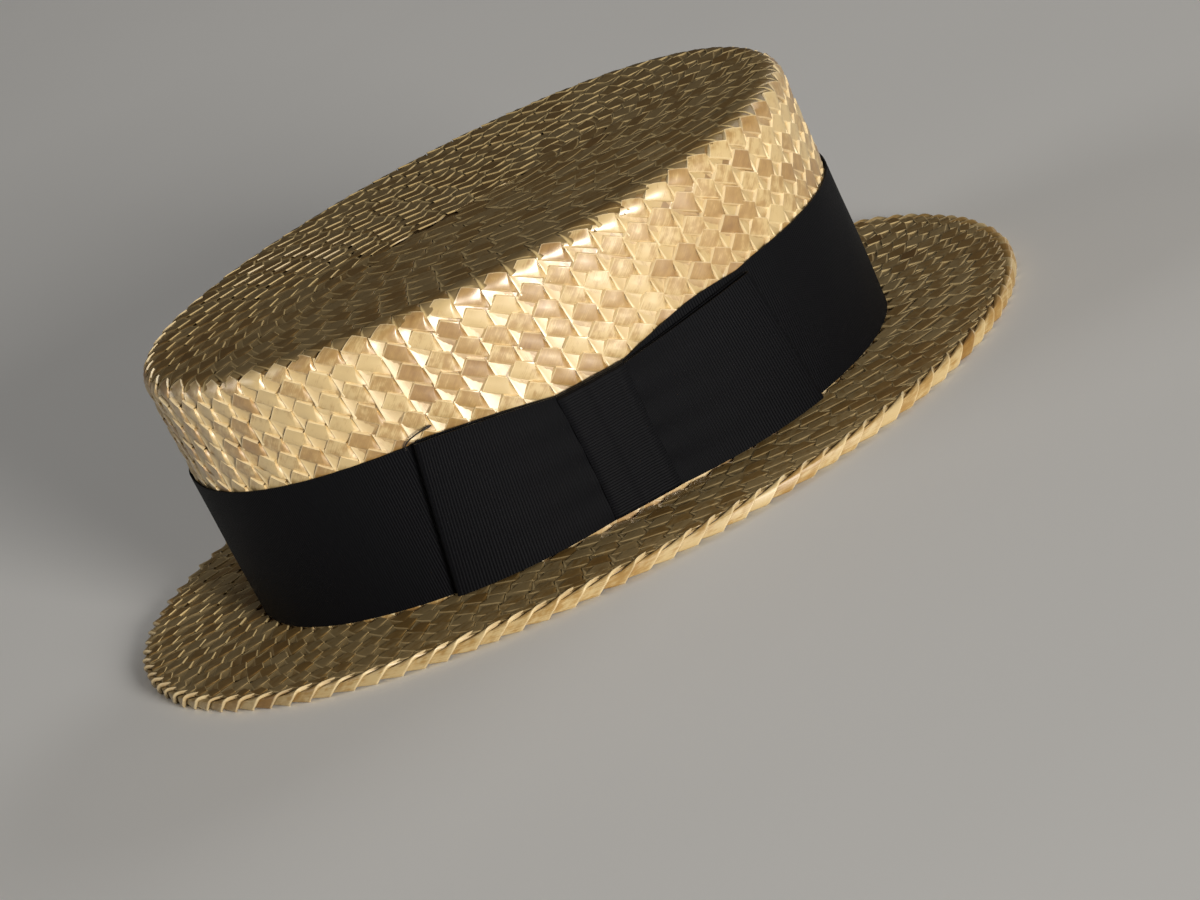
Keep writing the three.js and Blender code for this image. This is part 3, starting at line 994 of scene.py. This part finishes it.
LEAF = 0.5
LOOP_START = 1.5
LOOP_BACK = 2.1  # the inner leaf's middle, out from the crown
LOOP_KNOT_SPREAD, LOOP_FOLD_SPREAD = 1.0, 2.8  # between the leaves, at the knot and at the fold
LOOP_OPENS = 11.0  # the leaves part from here
LOOP_AT_KNOT = (6.8, 44.0)  # a loop's lower and upper edge where the knot pinches it
EDGE_FLARE = (2.2, 1.5)  # how soon those edges spread to their full heights
GATHERS = {"depth": 0.3, "starts": 9.0, "length": 13.0, "count": 4}
LOOP_BULGE = 0.2
# Which way a loop goes, how far its lower and upper ends reach, and its edges' heights there.
BOW_LOOPS = {
    "bow_loop_front": {"way": -1, "reach": (54.6, 47.3), "heights": (4.95, 51.0)},
    "bow_loop_back": {"way": 1, "reach": (57.0, 52.2), "heights": (4.95, 48.6)},
}


def loop_line(reach, steps=30, fold_steps=12):
    """Along and offset of a loop's middle line, and the length travelled."""
    spread = LOOP_FOLD_SPREAD
    radius = spread / 2
    out = np.linspace(LOOP_START, reach - radius, steps)
    open_share = np.clip((out - LOOP_OPENS) / (reach - radius - LOOP_OPENS), 0, 1)
    gap = LOOP_KNOT_SPREAD + (spread - LOOP_KNOT_SPREAD) * np.sin(open_share * math.pi / 2)
    turn = np.linspace(0, math.pi, fold_steps)[1:-1]
    fold = np.stack([reach - radius + radius * np.sin(turn), radius * (1 - np.cos(turn))], axis=1)
    there = np.stack([out, np.zeros(steps)], axis=1)
    back = np.stack([out, gap], axis=1)[::-1]
    line = np.concatenate([there, fold, back])
    line[:, 1] += LOOP_BACK
    travel = travelled(line)
    return line, travel


def bow_loop(name, way, reach, heights):
    """A flat loop: an inner leaf on the band, a fold at its end, and an outer leaf back to the knot."""
    columns = 25
    level = np.linspace(0, 1, columns)[None, :]
    lower, travel = loop_line(reach[0])
    upper, _ = loop_line(reach[1])
    along = lower[:, :1] + (upper[:, :1] - lower[:, :1]) * level
    offset = lower[:, 1:] + (upper[:, 1:] - lower[:, 1:]) * level
    reached = (along - LOOP_START) / (reach[0] + (reach[1] - reach[0]) * level - LOOP_START)
    low = heights[0] - (heights[0] - LOOP_AT_KNOT[0]) * (1 - reached) ** EDGE_FLARE[0]
    high = heights[1] - (heights[1] - LOOP_AT_KNOT[1]) * (1 - reached) ** EDGE_FLARE[1]
    height = low + (high - low) * level
    outer = offset > LOOP_BACK + LOOP_KNOT_SPREAD / 2
    past = np.clip(along - GATHERS["starts"], 0, None)
    gathers = GATHERS["depth"] * np.exp(-past / GATHERS["length"])
    gathers = gathers * np.sin(level * GATHERS["count"] * 2 * math.pi + 0.8 * way + 0.03 * along)
    bulge = LOOP_BULGE * np.sin(math.pi * level)
    offset = offset + np.where(outer, gathers, 0) + np.where(outer, bulge, 0)
    angle = np.arcsin((BOW_MIDDLE + way * along) / FOOT_HALF[1])
    grid = side_point(angle, height, offset)
    weave = np.stack(np.broadcast_arrays(travel[:, None], level * RIBBON_TALL), axis=-1)
    if way < 0:
        grid, weave = grid[::-1], weave[::-1]
    piece = thick_sheet(name + "_ribbon", grid, weave, grosgrain, thickness=LEAF)
    return part_of_hat(piece, "ribbon", name), travel[-1]


KNOT_HALF = 10.2
KNOT_OUT = 4.25  # the middle of its front, out from the crown's side
KNOT_CORNER = ((0.75, 0.1), (2.4, 0.0), (KNOT_OUT - 0.25, 0.6), (KNOT_OUT, 2.0))  # out, and from its end
KNOT_FRONT = ((KNOT_OUT + 0.15, -9.0), (KNOT_OUT + 0.2, 0.0), (KNOT_OUT + 0.15, 9.0))  # out, and height
KNOT_WAIST = 0.05
KNOT_FOLDS = (0.16, 0.08)
KNOT_ROLL = 0.45  # how far its side edges roll back


def bow_knot():
    """A short ribbon over the bow's middle: out at its foot, up its front and back in at its top."""
    low, high = knot_low[2] + 0.3, knot_high[2] - 0.3
    middle = (low + high) / 2
    corners = [(out, low + up) for out, up in KNOT_CORNER]
    corners += [(out, middle + up) for out, up in KNOT_FRONT]
    corners += [(out, high - down) for out, down in KNOT_CORNER[::-1]]
    line = smooth_line(corners, 70)
    travel = travelled(line)
    columns = 25
    level = np.linspace(-1, 1, columns)[None, :]
    tall = np.abs(line[:, 1:] - middle) / (high - middle)
    waist = 1 - KNOT_WAIST * (1 - tall**2)
    along = BOW_MIDDLE + KNOT_HALF * level * waist
    front = np.clip((line[:, :1] - 2.5) / (KNOT_OUT - 2.5), 0, 1)
    wide_folds = KNOT_FOLDS[0] * np.cos(level * math.pi * 2.5)
    folds = front * (wide_folds + KNOT_FOLDS[1] * np.cos(level * math.pi * 5 + 1))
    rolled = front * KNOT_ROLL * np.abs(level) ** 6
    offset = line[:, :1] + folds - rolled
    height = np.broadcast_to(line[:, 1:], offset.shape)
    angle = np.arcsin(along / FOOT_HALF[1])
    grid = side_point(angle, height, offset)
    weave = np.stack(np.broadcast_arrays(travel[:, None], KNOT_HALF * (level + 1)), axis=-1)
    piece = thick_sheet("bow_knot_ribbon", grid[::-1], weave[::-1], grosgrain, thickness=LEAF)
    return part_of_hat(piece, "ribbon", "bow_knot"), travel[-1]


band, band_length = hat_band()
for loop_name, loop in BOW_LOOPS.items():
    loop_piece, loop_length = bow_loop(loop_name, **loop)
knot, knot_length = bow_knot()

# ---- a loose thread at the top of the band ----

THREAD_RADIUS = 0.23
# y, height, and offset from the crown's side
THREAD_PLACES = (
    (-54.2, 49.2, 1.0),
    (-53.8, 50.6, 1.6),
    (-52.0, 52.0, 2.2),
    (-49.4, 52.9, 2.3),
    (-45.6, 53.5, 1.8),
)
THREAD_SIDES = 8
FRAYED_STATIONS, FRAYED_SWELL, END_TAPER = 5, 1.7, 0.4


def loose_thread():
    """A curled end of sewing thread, as a tube with a thicker frayed tip."""
    places = smooth_line(THREAD_PLACES, 26)
    angle = np.arcsin(places[:, 0] / FOOT_HALF[1])
    line = side_point(angle, places[:, 1], places[:, 2])
    ahead = np.gradient(line, axis=0)
    ahead /= np.linalg.norm(ahead, axis=1)[:, None]
    side = np.cross(ahead, (0, 0, 1))
    side /= np.linalg.norm(side, axis=1)[:, None]
    other = np.cross(side, ahead)
    round_angles = np.linspace(0, 2 * math.pi, THREAD_SIDES, endpoint=False)
    frayed = np.arange(len(line)) > len(line) - FRAYED_STATIONS
    radius = THREAD_RADIUS * np.where(frayed, FRAYED_SWELL, 1.0)
    radius[-1] *= END_TAPER
    ring = np.cos(round_angles)[:, None] * side[:, None] + np.sin(round_angles)[:, None] * other[:, None]
    points = (line[:, None] + radius[:, None, None] * ring).reshape(-1, 3)
    faces = []
    for station in range(len(line) - 1):
        for step in range(THREAD_SIDES):
            a = station * THREAD_SIDES + step
            b = station * THREAD_SIDES + (step + 1) % THREAD_SIDES
            faces.append((a, b, b + THREAD_SIDES, a + THREAD_SIDES))
    faces.append(tuple(range(THREAD_SIDES))[::-1])
    faces.append(tuple(range(len(points) - THREAD_SIDES, len(points))))
    piece = make_mesh("loose_thread", points, faces, thread)
    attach(piece, "root")


def thread_material():
    nodes = Nodes("dark_thread")
    place = nodes.add("ShaderNodeTexCoord").outputs["Object"]
    waves = {"Vector": place, "Scale": 900.0, "Distortion": 2.0}
    twist = nodes.add("ShaderNodeTexWave", waves).outputs[1]
    colour = nodes.ramp(twist, [(0.2, (0.006, 0.004, 0.003)), (0.9, (0.03, 0.02, 0.012))])
    nodes.link(colour, "Base Color")
    nodes.shader.inputs["Roughness"].default_value = 0.7
    return nodes.material


thread = thread_material()
loose_thread()


# ---- floor, light and camera ----


def make_floor():
    """A plain floor, 8 m across."""
    half = 4.0
    corners = [(-half, -half, 0), (half, -half, 0), (half, half, 0), (-half, half, 0)]
    mesh = bpy.data.meshes.new("floor")
    mesh.from_pydata(corners, [], [(0, 1, 2, 3)])
    floor = bpy.data.objects.new("floor", mesh)
    bpy.context.scene.collection.objects.link(floor)
    mesh.materials.append(floor_material())


CAMERA_PLACE = Vector((1.6290, -0.3104, 0.4922))
CAMERA_YAW, CAMERA_PITCH, CAMERA_ROLL = (math.radians(a) for a in (-11.03, -16.52, -26.13))
CAMERA_LENS = 176.8
SENSOR = 36.0


def make_camera():
    """The camera looks at the bow's side from a little above, rolled so that the hat leans."""
    ahead = Vector((
        -math.cos(CAMERA_PITCH) * math.cos(CAMERA_YAW),
        -math.cos(CAMERA_PITCH) * math.sin(CAMERA_YAW),
        math.sin(CAMERA_PITCH),
    ))
    level = ahead.cross(Vector((0, 0, 1))).normalized()
    upright = level.cross(ahead)
    right = math.cos(CAMERA_ROLL) * level + math.sin(CAMERA_ROLL) * upright
    up = math.cos(CAMERA_ROLL) * upright - math.sin(CAMERA_ROLL) * level
    data = bpy.data.cameras.new("camera")
    data.lens = CAMERA_LENS
    data.sensor_width = SENSOR
    data.clip_end = 30
    camera = bpy.data.objects.new("camera", data)
    turn = Matrix((right, up, -ahead)).transposed().to_4x4()
    camera.matrix_world = Matrix.Translation(CAMERA_PLACE) @ turn
    bpy.context.scene.collection.objects.link(camera)
    bpy.context.scene.camera = camera


MIDDLE = (0, 0, 0.04)  # what the lights are aimed at
WARM, SOFT = (1.0, 0.96, 0.9), (1.0, 0.97, 0.93)


def area_light(name, place, size, power, colour):
    data = bpy.data.lights.new(name, "AREA")
    data.shape = "DISK"
    data.size = size
    data.energy = power
    data.color = colour
    light = bpy.data.objects.new(name, data)
    light.location = place
    light.rotation_mode = "QUATERNION"
    light.rotation_quaternion = (Vector(MIDDLE) - Vector(place)).to_track_quat("-Z", "Y")
    bpy.context.scene.collection.objects.link(light)


def make_lights():
    area_light("key_beside_the_camera", (4.0, 0.42, 0.6), size=0.95, power=208, colour=WARM)
    area_light("soft_overhead", (-0.3, 0.2, 2.6), size=3.0, power=6, colour=SOFT)
    area_light("soft_front_fill", (-1.0, -2.6, 1.4), size=1.6, power=15, colour=SOFT)
    area_light("soft_back_fill", (-1.3, 2.5, 1.4), size=1.6, power=17, colour=SOFT)
    world = bpy.data.worlds.new("studio")
    world.use_nodes = True
    background = world.node_tree.nodes["Background"]
    background.inputs["Color"].default_value = (1.0, 0.98, 0.95, 1)
    background.inputs["Strength"].default_value = 0.03
    bpy.context.scene.world = world


make_floor()
make_camera()
make_lights()
bpy.context.scene.view_settings.view_transform = "Standard"
